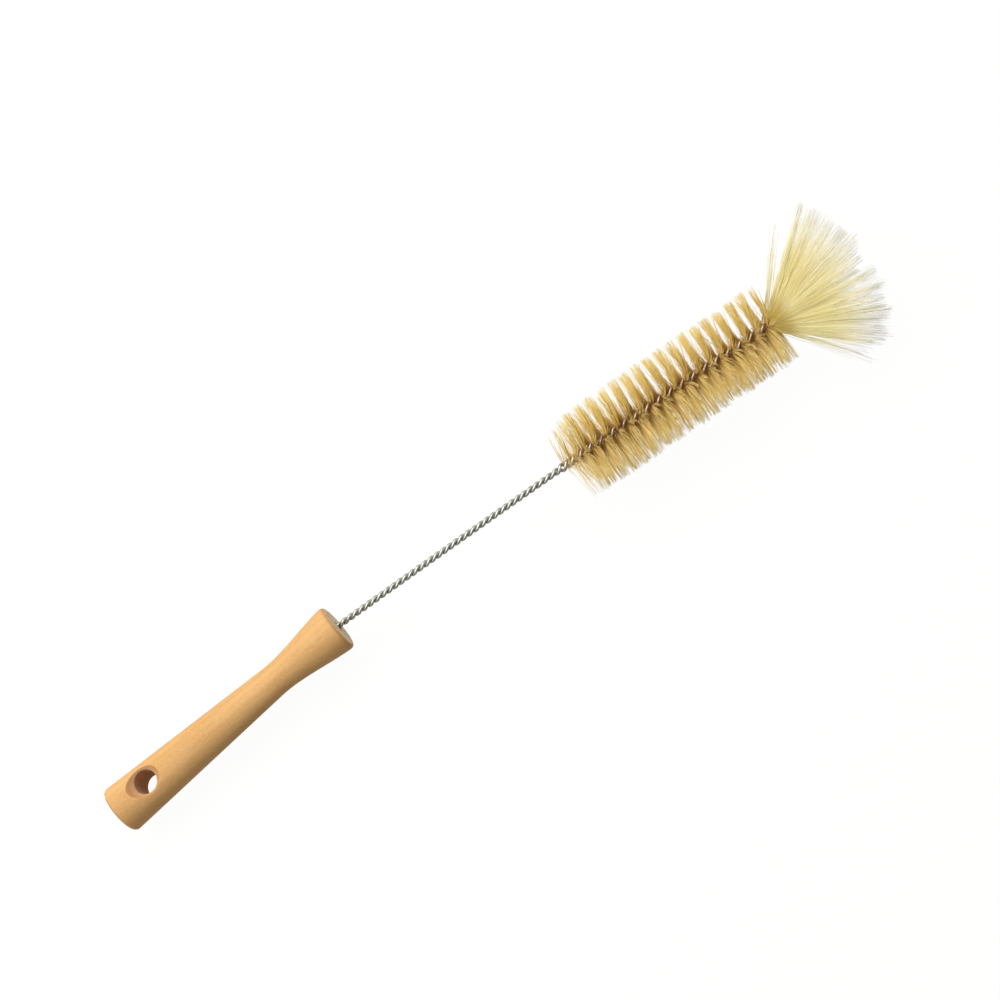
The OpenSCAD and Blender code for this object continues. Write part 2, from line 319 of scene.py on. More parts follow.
FLARE_EXIT_SLOPE, MOUTH_CHAMFER, POLE_R, DRILL_SPARE = 0.08, 0.8, 0.05, 2.0
FLARE_POINTS, RIM_POINTS, BUTT_POINTS, TAPER_POINTS, WINDOW_POINTS = 40, 12, 5, 56, 29
taper_slope = (WAIST_R - BUTT_R) / TAPER_L
flare_l = HANDLE_L - RIM_R - TAPER_L
flare = bezier([TAPER_L, WAIST_R], [TAPER_L + flare_l / 3, WAIST_R + taper_slope * flare_l / 3],
               [HANDLE_L - RIM_R - flare_l / 3, FRONT_R - FLARE_EXIT_SLOPE * flare_l / 3],
               [HANDLE_L - RIM_R, FRONT_R], FLARE_POINTS)
butt_rim = arc([RIM_R, BUTT_R - RIM_R], RIM_R, 180, 90, RIM_POINTS)
front_rim = arc([HANDLE_L - RIM_R, FRONT_R - RIM_R], RIM_R, 80, 0, RIM_POINTS)
outside = np.concatenate([butt_rim, flare, front_rim])

WINDOW_HALF_L, WINDOW_HALF_TURN, AROUND = 10.5, 23, 144
window_x = np.linspace(HOLE_X - WINDOW_HALF_L, HOLE_X + WINDOW_HALF_L, WINDOW_POINTS)
taper_x = np.concatenate([np.linspace(RIM_R + 1, window_x[0] - 1, BUTT_POINTS), window_x,
                          np.linspace(window_x[-1] + 1, TAPER_L - 1, TAPER_POINTS)])
taper = np.stack([taper_x, np.interp(taper_x, outside[:, 0], outside[:, 1])], axis=-1)
# Both faces keep a tiny ring at the axis, and the socket ends in the cone that a drill leaves
butt_face = np.array([[0, POLE_R], [0, 3], [0, 6], [0, 8]])
socket_end = HANDLE_L - SOCKET_L - DRILL_SPARE
front_face = np.array([
    [HANDLE_L, 7.5], [HANDLE_L, 5], [HANDLE_L, SOCKET_R + MOUTH_CHAMFER],
    [HANDLE_L - MOUTH_CHAMFER, SOCKET_R], [socket_end, SOCKET_R], [socket_end - SOCKET_R / 2, POLE_R]])
profile = np.concatenate([butt_face, butt_rim, taper, flare, front_rim, front_face])
first_row = len(butt_face) + len(butt_rim) + BUTT_POINTS
last_row = first_row + len(window_x) - 1
print("handle profile", len(profile), "points; window from", profile[first_row], "to", profile[last_row])


# %% Handle: its skin, with the window left out on both sides
def on_handle(x, across, out):
    """Points at x along the handle, across the hanging hole and out along the hole's axis."""
    turn = np.radians(HOLE_ROLL)
    up_share = out * np.cos(turn) - across * np.sin(turn)
    side_share = out * np.sin(turn) + across * np.cos(turn)
    return (BUTT + x[..., None] * HANDLE_DIR + side_share[..., None] * HANDLE_SIDE
            + up_share[..., None] * HANDLE_UP)


# Angles round the handle are counted from the hole's axis
angles = np.linspace(0, 2 * np.pi, AROUND, endpoint=False)
profile_x, profile_r = profile[:, :1] + 0 * angles, profile[:, 1:] + 0 * angles
skin_points = on_handle(profile_x, profile_r * np.sin(angles), profile_r * np.cos(angles))
numbers = np.arange(profile_x.size).reshape(profile_x.shape)
skin_quads = quads_of(numbers).reshape(len(profile) - 1, AROUND, 4)
row, column = np.indices(skin_quads.shape[:2])
from_hole = np.abs((column + 0.5 + AROUND / 4) % (AROUND / 2) - AROUND / 4)
in_window = (row >= first_row) & (row < last_row) & (from_hole < WINDOW_HALF_TURN)
skin_quads = skin_quads[~in_window]
end_caps = [numbers[:1], numbers[-1:, ::-1]]
print("skin of", len(skin_quads), "quads;", in_window.sum(), "left out for the hole")

# %% Handle: the patches round the hole
half_cone = np.radians(COUNTERSINK_A / 2)
mouth_r = BUTT_R + (WAIST_R - BUTT_R) * HOLE_X / TAPER_L
cone_bottom = mouth_r - COUNTERSINK_W / np.tan(half_cone)
EDGE_BLEND, BLEND_L, LIP_R, PATCH_LEVELS, LIP_STEPS, WALL_STEPS = 0.3, 1.5, 0.3, 24, 5, 8


def window_border(middle):
    """Point numbers round the window whose middle column is given, clockwise as seen from outside."""
    left, right = middle - WINDOW_HALF_TURN, middle + WINDOW_HALF_TURN
    r, c = np.arange(first_row, last_row), np.arange(left, right)
    rows = np.concatenate([0 * c + first_row, r, 0 * c + last_row, r[::-1] + 1])
    columns = np.concatenate([c, 0 * r + right, c[::-1] + 1, 0 * r + left])
    return numbers[rows, columns % AROUND]


def lower_of(a, b, blend):
    """The smaller of a and b, rounded where they cross: (a + b - sqrt((a-b)² + blend²)) / 2."""
    return (a + b - np.sqrt((a - b) ** 2 + blend ** 2)) / 2


def hole_patch(middle, way):
    """Points from a window's border in to the hole's wall and halfway through, row by row.

    At rho from the hole's axis, the skin stands sqrt(R(x)² - across²) high, and the cone of the
    countersink (rho - hole radius) / tan(half its angle) above its bottom edge.
    """
    border = window_border(middle)
    x = profile_x.ravel()[border] - HOLE_X
    across = (profile_r * np.sin(angles)).ravel()[border]
    ray = np.arctan2(across, x)
    reach = np.hypot(x, across)
    lip_turn = np.pi / 2 - half_cone
    inner = HOLE_R + LIP_R * (1 - np.sin(lip_turn))
    rho = inner + (reach - inner) * np.linspace(1, 0, PATCH_LEVELS + 1)[1:, None]
    skin_r = np.interp(HOLE_X + rho * np.cos(ray), outside[:, 0], outside[:, 1])
    skin_h = np.sqrt(skin_r ** 2 - (rho * np.sin(ray)) ** 2)
    cone_h = cone_bottom + (rho - HOLE_R) / np.tan(half_cone)
    height = lower_of(skin_h, cone_h, EDGE_BLEND * ramp((reach - rho) / BLEND_L) + 1e-6)
    turn = np.linspace(lip_turn, np.pi / 2, LIP_STEPS + 1)[1:, None]
    lip_rho = HOLE_R + LIP_R * (1 - np.sin(turn)) + 0 * ray
    lip_h = height[-1] + LIP_R * (np.cos(turn) - np.cos(lip_turn))
    wall_h = lip_h[-1] * np.linspace(1, 0, WALL_STEPS + 1)[1:, None]
    rho = np.concatenate([rho, lip_rho, HOLE_R + 0 * wall_h])
    height = np.concatenate([height, lip_h, wall_h])
    # Depth is 0 on the skin, then 0.25 to 0.55 down the cone, 0.65 on the lip and 1 on the wall
    cut = ramp((skin_h - cone_h) / 0.4 + 0.5)
    in_cone = 0.25 + 0.3 * ramp(1 - (rho[:PATCH_LEVELS] - HOLE_R) / COUNTERSINK_W)
    depth = np.concatenate([in_cone * cut, np.full_like(lip_h, 0.65), np.ones_like(wall_h)])
    return border, on_handle(HOLE_X + rho * np.cos(ray), rho * np.sin(ray), way * height), depth


upper_border, upper_patch, upper_depth = hole_patch(0, 1)
lower_border, lower_patch, lower_depth = hole_patch(AROUND // 2, -1)
rays = len(upper_border)
upper_numbers = skin_points.reshape(-1, 3).shape[0] + np.arange(upper_depth.size).reshape(-1, rays)
lower_numbers = upper_numbers[-1, -1] + 1 + np.arange(lower_depth[:-1].size).reshape(-1, rays)
# Both halves of the wall end on the same ring, which the lower patch meets the other way round
meeting = upper_numbers[-1, (2 * WINDOW_HALF_TURN - np.arange(rays)) % rays]
patch_quads = [quads_of(np.concatenate([upper_border[None], upper_numbers])),
               quads_of(np.concatenate([lower_border[None], lower_numbers, meeting[None]]))]
print("patches of", rays, "rays, with the cone's bottom edge at", cone_bottom.round(2))

# %% Handle: one mesh, and how bare each point is
FRONT_LINE_X, BUTT_LINE_X, LINE_HALF_W = HANDLE_L - 0.7, 0.4, 0.5
end_grain = ramp((HANDLE_L - 0.3 - profile_x) / -0.25) + ramp((0.1 - profile_x) / 0.1)
rim_line_and_shade = ramp(1 - np.abs(FRONT_LINE_X - profile_x) / LINE_HALF_W) * (profile_r > FRONT_R - RIM_R)
# The line round the butt is twice as strong, as painted shade where the butt's rim turns from the lamp
rim_line_and_shade = rim_line_and_shade + 2 * ramp(1 - np.abs(BUTT_LINE_X - profile_x) / LINE_HALF_W)
socket_depth = ((profile_r <= SOCKET_R) & (profile_x > BUTT_R)).astype(float)
handle_points = np.concatenate([
    part.reshape(-1, 3) for part in (skin_points, upper_patch, lower_patch[:-1])])
handle_depth = np.concatenate([socket_depth.ravel(), upper_depth.ravel(), lower_depth[:-1].ravel()])
patches_bare = np.zeros(upper_depth.size + lower_depth[:-1].size)
handle_ends, handle_rim_line_and_shade = (
    np.concatenate([part.ravel(), patches_bare]) for part in (ramp(end_grain), rim_line_and_shade))
turned_handle = add_piece(
    "turned_handle", handle_points, [skin_quads, *patch_quads, *end_caps],
    {"depth": handle_depth, "end_grain": handle_ends, "rim_line_and_shade": handle_rim_line_and_shade}, sharp_angle=40)
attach(turned_handle, "root")
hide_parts("handle")

# %% [markdown]
# ## Beech under a satin varnish
# Beech has faint growth bands and short darker flecks, a millimetre or two long, that run with the
# grain. Both are patterns on coordinates turned onto the handle's own axis: the bands are rings round
# a pith that lay outside the blank, and the flecks are a noise stretched along the grain. The cone of
# the hanging hole is painted darker brown where it starts, as shade in the recess, and paler and pinker
# towards the wall, with a painted highlight on the lip, and the wall is bare. The sawn ends are pale,
# rough and full of pores, and cut across the growth bands; part of their paleness is painted light,
# since the lamp hardly reaches the front face. A thin darker line is painted round the front rim, and
# one twice as strong round the butt, where it is painted shade on the rim that turns from the lamp.
# The varnish is thin and satin, so its shine is faint and soft.

# %% Wood finish
wood = Finish("beech", Specular_IOR_Level=0.05, Coat_Roughness=0.3)
axis_at = np.array([BUTT @ HANDLE_DIR, BUTT @ HANDLE_SIDE, BUTT @ HANDLE_UP]) * MM
along_grain = wood.place(turn=(0, PITCH, 0), at=tuple(-axis_at))
depth, bare_end = wood.attribute("depth"), wood.attribute("end_grain")


def grain(scale_along, scale_across, **settings):
    """Noise stretched along the grain; scales are in features per metre."""
    stretched = wood.node("ShaderNodeVectorMath", {"operation": "MULTIPLY"},
                          {0: along_grain, 1: (scale_along, scale_across, scale_across)}).out()
    return wood.noise(stretched, **settings)


PITH_AT = (0, -0.031, 0.023)
from_pith = wood.node("ShaderNodeVectorMath", {"operation": "SUBTRACT"},
                      {0: along_grain, 1: PITH_AT}).out()
bands = wood.node("ShaderNodeTexWave", {"wave_type": "RINGS", "rings_direction": "X"}, {
    "Vector": from_pith, "Scale": 95, "Distortion": 2.2, "Detail": 2, "Detail Scale": 0.6}).out("Fac")
flecks = wood.steps(grain(330, 2600, detail=2.0), 0.58, 0.72)
mottle = grain(28, 130, detail=3.0)
fibres = grain(90, 4200, detail=2.0)
specks = grain(700, 1300, detail=3.0, roughness=0.7)
light_wood = wood.mix(wood.steps(mottle, 0.3, 0.7), rgb(236, 180, 112), rgb(248, 194, 126))
banded = wood.mix(bands * 0.12, light_wood, rgb(214, 150, 82))
flecked = wood.mix(flecks * 0.24, banded, rgb(190, 126, 66))
streaked = wood.mix(wood.steps(fibres, 0.45, 0.75) * 0.14, flecked, rgb(204, 142, 80))
speckled = wood.mix(wood.steps(specks, 0.4, 0.65) * 0.3, streaked, rgb(252, 206, 146))
# Painted highlight: the lip of the hanging hole is paler
lip_highlight_wood = wood.mix(specks, rgb(222, 170, 122), rgb(240, 198, 154))
# Painted shade: the cone is darker brown where it starts, and grows paler towards the lip
cone_shade_and_highlight = wood.mix(wood.steps(depth, 0.25, 0.65), rgb(216, 158, 98), lip_highlight_wood)
cut_wood = wood.mix(wood.steps(depth, 0.02, 0.2), speckled, cone_shade_and_highlight)
wall_wood = wood.mix(mottle, rgb(194, 152, 116), rgb(220, 186, 152))
bore_wood = wood.mix(wood.steps(depth, 0.75, 1.0), cut_wood, wall_wood)
# The sawn ends are pale, partly as end grain is and partly as painted light, since the lamp hardly
# reaches the front face
pores = wood.mix(grain(500, 1500, detail=3.0), rgb(250, 218, 176), rgb(255, 240, 214))
end_wood_lightened = wood.mix(wood.steps(bands, 0.3, 0.9) * 0.3, pores, rgb(222, 172, 124))
# A thin darker line round both rims, which round the butt is painted shade
rim_lined_and_shaded = wood.mix(wood.attribute("rim_line_and_shade") * 0.4, bore_wood, rgb(206, 138, 74))
wood.shade(Base_Color=wood.mix(bare_end, rim_lined_and_shaded, end_wood_lightened),
           Roughness=0.40 + mottle * 0.12 + depth * 0.25 + bare_end * 0.2,
           Coat_Weight=0.04 - depth * 0.04 - bare_end * 0.04)
GRAIN_H = 0.02 * MM
wood.bump(fibres * 0.4 + flecks * -0.5 + bare_end * grain(800, 2400) * 0.8, GRAIN_H)
turned_handle.data.materials.append(wood.material)
print("beech of", len(wood.tree.nodes), "nodes")

# %% [markdown]
# ## The line and the twist
# One steel wire is folded in half, its ends are held and its fold is spun. So both strands wind round
# one line. That line is straight in the handle, turns a little at its mouth, and then drifts slowly.
# The twist is tight along the bare shank and more open where it holds the bristles.

# %% The line: where the wire's axis is, at a length s from the handle's front face
def headings(s):
    """Yaw and pitch of the line at s, in radians."""
    yaw = -np.radians(MOUTH_BEND * ramp(s / BEND_L) + DRIFT_BEND * ramp(s / S_FOLD))
    return yaw, PITCH * (1 - ramp(s / SHANK_L))


def frame_at(s):
    """The line's own directions at s: along it, level to its left, and up."""
    yaw, pitch = headings(s)
    along = np.stack([np.cos(pitch) * np.cos(yaw), np.cos(pitch) * np.sin(yaw), np.sin(pitch)], axis=-1)
    side = np.stack([-np.sin(yaw), np.cos(yaw), 0 * yaw], axis=-1)
    return along, side, np.cross(along, side)


LINE_STEP = 0.25
line_s = np.arange(0, S_FOLD + 4, LINE_STEP)
line_points = BUTT + HANDLE_L * HANDLE_DIR + np.concatenate(
    [np.zeros((1, 3)), np.cumsum(frame_at(line_s[:-1] + LINE_STEP / 2)[0] * LINE_STEP, axis=0)])


def line_at(s):
    """Points of the line at s; before the front face it runs straight back into the handle."""
    ahead = np.stack([np.interp(s, line_s, line_points[:, k]) for k in range(3)], axis=-1)
    return ahead + np.minimum(s, 0)[..., None] * HANDLE_DIR


print("end of the line:", line_at(np.array([S_FOLD])).round(1))

# %% The twist: how far the strands have turned at s, and how far apart they are
def turns(s):
    """Whole turns up to s. One turn takes the shank's lead, then, past the opening, the head's."""
    opened = np.clip(s - S_HEAD, 0, OPENING_L)
    in_head = np.maximum(0, s - S_HEAD - OPENING_L)
    return ((s - in_head) / SHANK_LEAD + in_head / HEAD_LEAD
            + (1 / HEAD_LEAD - 1 / SHANK_LEAD) * opened ** 2 / (2 * OPENING_L))


FOLD_EASE = 0.5


def strand_angle(s):
    """Angle of the first strand round the line, in radians; it stands on top at the fold."""
    return np.pi / 2 + 2 * np.pi * (turns(S_LEG) - turns(lower_of(s, S_LEG, FOLD_EASE)))


def strand_off(s):
    """Distance of a strand's centre from the line."""
    return (SHANK_OFF + (HEAD_OFF - SHANK_OFF) * smooth((s - S_HEAD + SPREAD_L) / SPREAD_L)
            + (FOLD_OFF - HEAD_OFF) * smooth((s - S_LEG + FOLD_SPREAD_L) / FOLD_SPREAD_L))


def radial(s, angle):
    """Direction away from the line at s: cos(angle) side + sin(angle) up."""
    _, side, up = frame_at(s)
    return np.cos(angle)[..., None] * side + np.sin(angle)[..., None] * up


print("turns in the head:", (turns(S_LEG) - turns(S_HEAD)).round(2))

# %% [markdown]
# ## The twisted wire
# The whole wire is one tube: up the first strand, round the fold in a half circle, and back down the
# second strand. Sweeping one circle along one path keeps it one closed skin, as a single wire is. Its
# inner side, where the strands touch, is rougher and painted darker, as shade in the crease, so each
# point remembers whether it faces the line.

# %% Twisted wire: the path of its centre
RINGS_PER_TURN, WIRE_SIDES, LEG_RINGS, FOLD_RINGS, FINE_STEP, DUST_AND_REFLECTION_L = 24, 12, 5, 12, 0.05, 6.0
fine_s = np.arange(-SOCKET_L, S_LEG, FINE_STEP)
ring_turns = np.arange(turns(-SOCKET_L), turns(S_LEG), 1 / RINGS_PER_TURN)
strand_s = np.interp(ring_turns, turns(fine_s), fine_s)
strand_s = np.concatenate([strand_s, np.linspace(strand_s[-1], S_FOLD, LEG_RINGS + 1)[1:]])


def strand(turn):
    """Centres of one strand, and the directions from the line to them."""
    out = radial(strand_s, strand_angle(strand_s) + turn)
    return line_at(strand_s) + strand_off(strand_s)[:, None] * out, out


first, first_out = strand(0)
second, second_out = strand(np.pi)
fold_turn = np.linspace(0, np.pi, FOLD_RINGS + 2)[1:-1, None]
fold_out = np.cos(fold_turn) * first_out[-1] + np.sin(fold_turn) * frame_at(np.array(S_FOLD))[0]
fold = line_at(np.array(S_FOLD)) + FOLD_OFF * fold_out
centres = np.concatenate([first, fold, second[::-1]])
outwards = np.concatenate([first_out, fold_out, second_out[::-1]])
print("path of", len(centres), "rings")


# %% Twisted wire: the swept tube
def tube(centres, outwards, radius, sides):
    """Rings round a path. Angle a stands radius (cos a e1 + sin a e2) off it.

    e1 is the outward direction made square to the path, and e2 is e1 x the path's direction.
    """
    forward = unit(np.gradient(centres, axis=0))
    e1 = unit(outwards - (outwards * forward).sum(-1, keepdims=True) * forward)
    e2 = np.cross(e1, forward)
    a = np.linspace(0, 2 * np.pi, sides, endpoint=False)[:, None]
    rings = centres[:, None] + radius * (np.cos(a) * e1[:, None] + np.sin(a) * e2[:, None])
    return rings, np.cos(a)[:, 0]


wire_points, facing = tube(centres, outwards, WIRE_R, WIRE_SIDES)
numbers = np.arange(len(centres) * WIRE_SIDES).reshape(-1, WIRE_SIDES)
# facing is 1 on the side away from the line and -1 on the side towards it, where the strands touch
groove = np.broadcast_to(ramp(0.5 - 0.75 * facing), numbers.shape)
ring_s = np.concatenate([strand_s, np.full(FOLD_RINGS, S_FOLD), strand_s[::-1]])
in_bristles = np.broadcast_to(smooth((ring_s - S_HEAD) / DUST_AND_REFLECTION_L)[:, None], numbers.shape)
twisted_pair = add_piece("twisted_pair", wire_points.reshape(-1, 3),
                         [quads_of(numbers), numbers[:1], numbers[-1:, ::-1]],
                         {"groove": groove, "in_bristles": in_bristles}, sharp_angle=50)
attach(twisted_pair, "root")
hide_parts("twisted_wire")
print("wire length", np.linalg.norm(np.diff(centres, axis=0), axis=1).sum().round(0), "mm")

# %% [markdown]
# ## Tinned steel
# The wire is bright but dulled, painted darker in its grooves as shade where the strands touch, with
# faint drawing lines and duller patches. In the head it is dusty with the bristles, and its metal is
# painted warmer there, partly for that dust and partly as a painted reflection of the bristles round it.

# %% Wire finish
steel = Finish("steel_wire", Metallic=1.0)
here = steel.place()
patches = steel.noise(here, scale=420, detail=3)
worn = steel.noise(here, scale=2600, detail=2)
groove_mask = steel.attribute("groove")
bright = steel.mix(patches, rgb(172, 172, 162), rgb(200, 200, 190))
# Painted shade: the metal is darker where the strands touch
groove_shaded = steel.mix(steel.steps(groove_mask, 0.35, 1.0) * 0.12, bright, rgb(70, 68, 58))
# Warmer in the head: partly bristle dust, partly a painted reflection of the bristles round it
dust_and_reflection_tint = steel.mix(steel.attribute("in_bristles") * 0.6, groove_shaded, rgb(224, 198, 176))
steel.shade(Base_Color=dust_and_reflection_tint, Roughness=0.30 + worn * 0.14 + groove_mask * 0.25)
DRAWN_H = 0.01 * MM
steel.bump(worn, DRAWN_H)
twisted_pair.data.materials.append(steel.material)
print("steel of", len(steel.tree.nodes), "nodes")

# %% [markdown]
# ## Hairs as tapered tubes
# A bristle is a fibre a fifth of a millimetre thick. There are thousands, so each has only a few dozen
# faces: three sides, a few rings and two end triangles. All hairs of a piece are worked out together,
# as one array of paths, and become one mesh. Hair curves would be quicker to make, but they would not
# survive as solid meshes elsewhere.

# %% Hair helper
HAIR_SIDES, TABLE_GAP = 3, 0.02


def add_hairs(name, paths, radii, reference, attributes, rng):
    """Tubes round paths (hair, ring, xyz). Angle a stands radius (cos a e1 + sin a e2) off a path.

    e1 is reference x the path's direction, and e2 is e1 x that direction.
    """
    hairs, rings = paths.shape[:2]
    forward = unit(np.gradient(paths, axis=1))
    e1 = unit(np.cross(reference, forward))[:, :, None]
    e2 = np.cross(e1, forward[:, :, None])
    a = (np.arange(HAIR_SIDES) / HAIR_SIDES + rng.random((hairs, 1)))[:, None, :, None] * 2 * np.pi
    points = paths[:, :, None] + radii[..., None, None] * (np.cos(a) * e1 + np.sin(a) * e2)
    numbers = np.arange(points.size // 3).reshape(hairs, rings, HAIR_SIDES)
    one_hair = quads_of(numbers[0])
    sides = (one_hair[None] + numbers[:, :1, :1]).reshape(-1, 4)
    ends = np.concatenate([numbers[:, 0], numbers[:, -1, ::-1]])
    spread = {key: np.broadcast_to(value[..., None], numbers.shape)
              for key, value in attributes.items()}
    return add_piece(name, points.reshape(-1, 3), [sides, ends], spread)


# %% [markdown]
# ## The bristle head
# Bristles are laid across between the two strands before the wire is spun, so each one stands at a
# right angle to the strands where it is pinched, and together they make a double spiral. They fan out
# along the wire towards their tips, and their tips gather in small clumps. This brush has been pushed
# to one side: on its left the turns stand apart, and on its right they spread until they close up.
# The first turns are thinner and shorter and lean forward. Of every eight fibres one is broken short
# and lies tangled round the wire, and more are in the first turns on the right. What would pass below
# the table is bent up onto it.

# %% Bristle head: where each half bristle stands
rng = np.random.default_rng(11)
BRISTLES, FILL_STEPS, CLUMPS_PER_TURN, CLUMP_BLUR = 7600, 600, 26, 0.3
FIRST_S, LAST_S, START_L, FILL_L, START_FILL = S_HEAD + 0.4, S_LEG - 0.2, 13.0, 12.0, 0.05

# The first turns hold few bristles; the number for each millimetre grows over FILL_L
fill_s = np.linspace(FIRST_S, LAST_S, FILL_STEPS)
fill = np.cumsum(START_FILL + (1 - START_FILL) * ramp((fill_s - S_HEAD) / FILL_L))
share = (np.arange(BRISTLES) + rng.random(BRISTLES)) / BRISTLES
root_s = np.interp(share * fill[-1], fill, fill_s)
way = rng.integers(0, 2, BRISTLES)
at_start = 1 - ramp((root_s - S_HEAD) / START_L)
base_angle = strand_angle(root_s) + np.pi / 2 + np.pi * way
across = np.cos(base_angle)
to_left, to_right = ramp(across), ramp(-across)
turned = turns(root_s) - turns(S_HEAD) + CLUMP_BLUR * rng.random(BRISTLES) / CLUMPS_PER_TURN
clump = np.floor(turned * CLUMPS_PER_TURN).astype(int) * 2 + way
clumps = clump.max() + 1
print(BRISTLES, "half bristles in", clumps, "clumps")

# %% Bristle head: how far each one leans, and how long it is
# Spreads in millimetres, and turns in radians
FAN, CLUMP_ALONG, CLUMP_TURN, CLUMP_LONG, CLUMP_LONGEST = 1.75, 0.35, 0.05, 0.6, 0.4
HAIR_TURN, HAIR_SHORT, TRIM, BOW, START_SHORT, START_LEAN = 0.075, 0.85, 0.5, 0.5, 0.12, 3.4
STRAY_SHARE, STRAY_ALONG, STRAY_TURN = 0.09, 1.6, 0.12
BROKEN_SHARE, BROKEN_L, BROKEN_ALONG, BROKEN_TURN = 0.12, (2.4, 5.0), 1.6, 0.4
clump_along = rng.normal(0, CLUMP_ALONG, clumps)[clump] * (1 - 0.4 * to_right)
clump_turn = rng.normal(0, CLUMP_TURN, clumps)[clump]
clump_tone = rng.random(clumps)[clump]
clump_long = rng.normal(0, CLUMP_LONG, clumps)[clump]

stray = rng.random(BRISTLES) < STRAY_SHARE * (1 + 1.5 * to_right + 0.5 * to_left)
# Half the width of a turn at its tips: least on the left, most on the right
tip_fan = FAN * (1.25 + 0.3 * to_right - 0.15 * to_left + 0.1 * at_start)
tip_along = (tip_fan * rng.uniform(-1, 1, BRISTLES) + clump_along
             + stray * rng.normal(0, STRAY_ALONG, BRISTLES))
tip_turn = (rng.normal(0, HAIR_TURN, BRISTLES) + clump_turn
            + stray * rng.normal(0, STRAY_TURN, BRISTLES))
length = (HEAD_R * (1 - START_SHORT * at_start * (1 + 0.8 * across)) - TRIM
          + np.minimum(clump_long, CLUMP_LONGEST)
          - np.abs(rng.normal(0, HAIR_SHORT, BRISTLES)) * (1 - 0.25 * to_right))
length = np.minimum(length, HEAD_R)
# Short and broken fibres, tangled round the wire
broken = rng.random(BRISTLES) < BROKEN_SHARE + 0.6 * at_start * to_right
length = np.where(broken, rng.uniform(*BROKEN_L, BRISTLES), length)
tip_along += broken * rng.normal(0, BROKEN_ALONG, BRISTLES)
tip_turn += broken * rng.normal(0, BROKEN_TURN, BRISTLES)
bow = rng.normal(0, BOW, (BRISTLES, 2))
print(stray.sum(), "strays and", broken.sum(), "broken short")

# %% Bristle head: the paths
STEPS = np.array([0.0, 0.22, 0.48, 0.75, 1.0])
ROOT_R = 0.25
step = STEPS[None]
# A bow is 0 at both ends of a hair: step - step², times 4 sideways and times 2 along the wire
angle = base_angle[:, None] + tip_turn[:, None] * step + bow[:, :1] * (step - step ** 2) / HEAD_R * 4
rho = ROOT_R + (length[:, None] - ROOT_R) * step
# Those on the left open evenly towards their tips; the others open near the root, then close a little
opening = step ** (0.6 + 0.25 * to_left)[:, None] * (1 - 0.25 * ramp(1 - across)[:, None] * step ** 3)
drift = (tip_along[:, None] * opening + bow[:, 1:] * (step - step ** 2) * 2
         + START_LEAN * at_start[:, None] * rho / HEAD_R)
along, side, up = (v[:, None] for v in frame_at(root_s))
paths = (line_at(root_s)[:, None] + drift[..., None] * along
         + rho[..., None] * (np.cos(angle)[..., None] * side + np.sin(angle)[..., None] * up))
HAIR_R, TIP_R, RIGHT_TIP_MORE = 0.13, 0.067, 0.012
tip_r = TIP_R + RIGHT_TIP_MORE * to_right[:, None]
radii = (HAIR_R + (tip_r - HAIR_R) * step ** 2) * rng.uniform(0.7, 1.3, (BRISTLES, 1))
radii = radii * (1 - at_start * (0.35 - 0.2 * across))[:, None]
paths[..., 2] = np.maximum(paths[..., 2], radii + TABLE_GAP)
print("bristle tips from z", paths[..., 2].min().round(2), "to", paths[..., 2].max().round(2))

# %% Bristle head: the mesh
DARK_SHARE = 0.06
# Tone goes from light, 0, to deep, 1. The left, which faces the lamp, is deeper, as painted shade, and
# the right, in the lamp's shade, is lighter, as painted light; the first turns are lighter too
shade = 0.7 * rng.random(BRISTLES) + 0.3 * clump_tone + 0.25 * to_left - 0.35 * to_right
tone = ramp(shade * (1 - 0.7 * at_start))[:, None] + 0 * step
dark = (rng.random(BRISTLES) < DARK_SHARE).astype(float)[:, None] + 0 * step
# Reach is 0 at the root and 1 at the tip. It runs ahead in the first turns and lags low on the right,
# which paints the roots there darker and dimmer, as shade below the wire
reach = rho / HEAD_R + 0.45 * at_start[:, None] + (0.12 * rho / HEAD_R - 0.09) * to_right[:, None]
spiral_bristles = add_hairs("spiral_bristles", paths, radii, along, {
    "reach": reach, "tone": tone, "dark": dark}, rng)
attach(spiral_bristles, "root")
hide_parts("head_bristles")

# %% [markdown]
# ## Natural bristle
# Both kinds of bristle share one recipe. A hair is darker and browner at its root, which is painted
# shade where the roots crowd round the wire, takes its main colour on the way out and pales at its tip,
# and no two have quite the same shade. A few are dark. The hairs carry these three numbers on their
# points, so the colours stay with them in any view. Bristle lets light through, so a bundle is bright
# from within. Following light inside each thin hair would take too long. Instead a hair gives off a
# faint glow of its own colour, weaker at the crowded root, and light may bounce a dozen times between
# hairs.

# %% Bristle finish
GLOW, BLACK = 0.28, (0.0, 0.0, 0.0, 1.0)


def bristle_finish(name, root, light, deep, tip, deep_tip, dark_hair, root_reach, tip_reach, root_glow):
    """Root, body and tip colours along a hair; body and tip go from light to deep by the hair's tone."""
    finish = Finish(name, Roughness=0.5, Specular_IOR_Level=0.2, Emission_Strength=GLOW)
    reach, tone, dark = (finish.attribute(key) for key in ("reach", "tone", "dark"))
    body = finish.mix(tone, light, deep)
    paled = finish.mix(finish.steps(reach, *tip_reach), body, finish.mix(tone, tip, deep_tip))
    # The root colour is painted shade where the roots crowd together
    root_shaded = finish.mix(finish.steps(reach, *root_reach), root, paled)
    colour = finish.mix(dark * 0.75, root_shaded, dark_hair)
    glowing = finish.mix(finish.steps(reach, 0.1, 1.0, root_glow), BLACK, colour)
    finish.shade(Base_Color=colour, Emission_Color=glowing)
    return finish.material


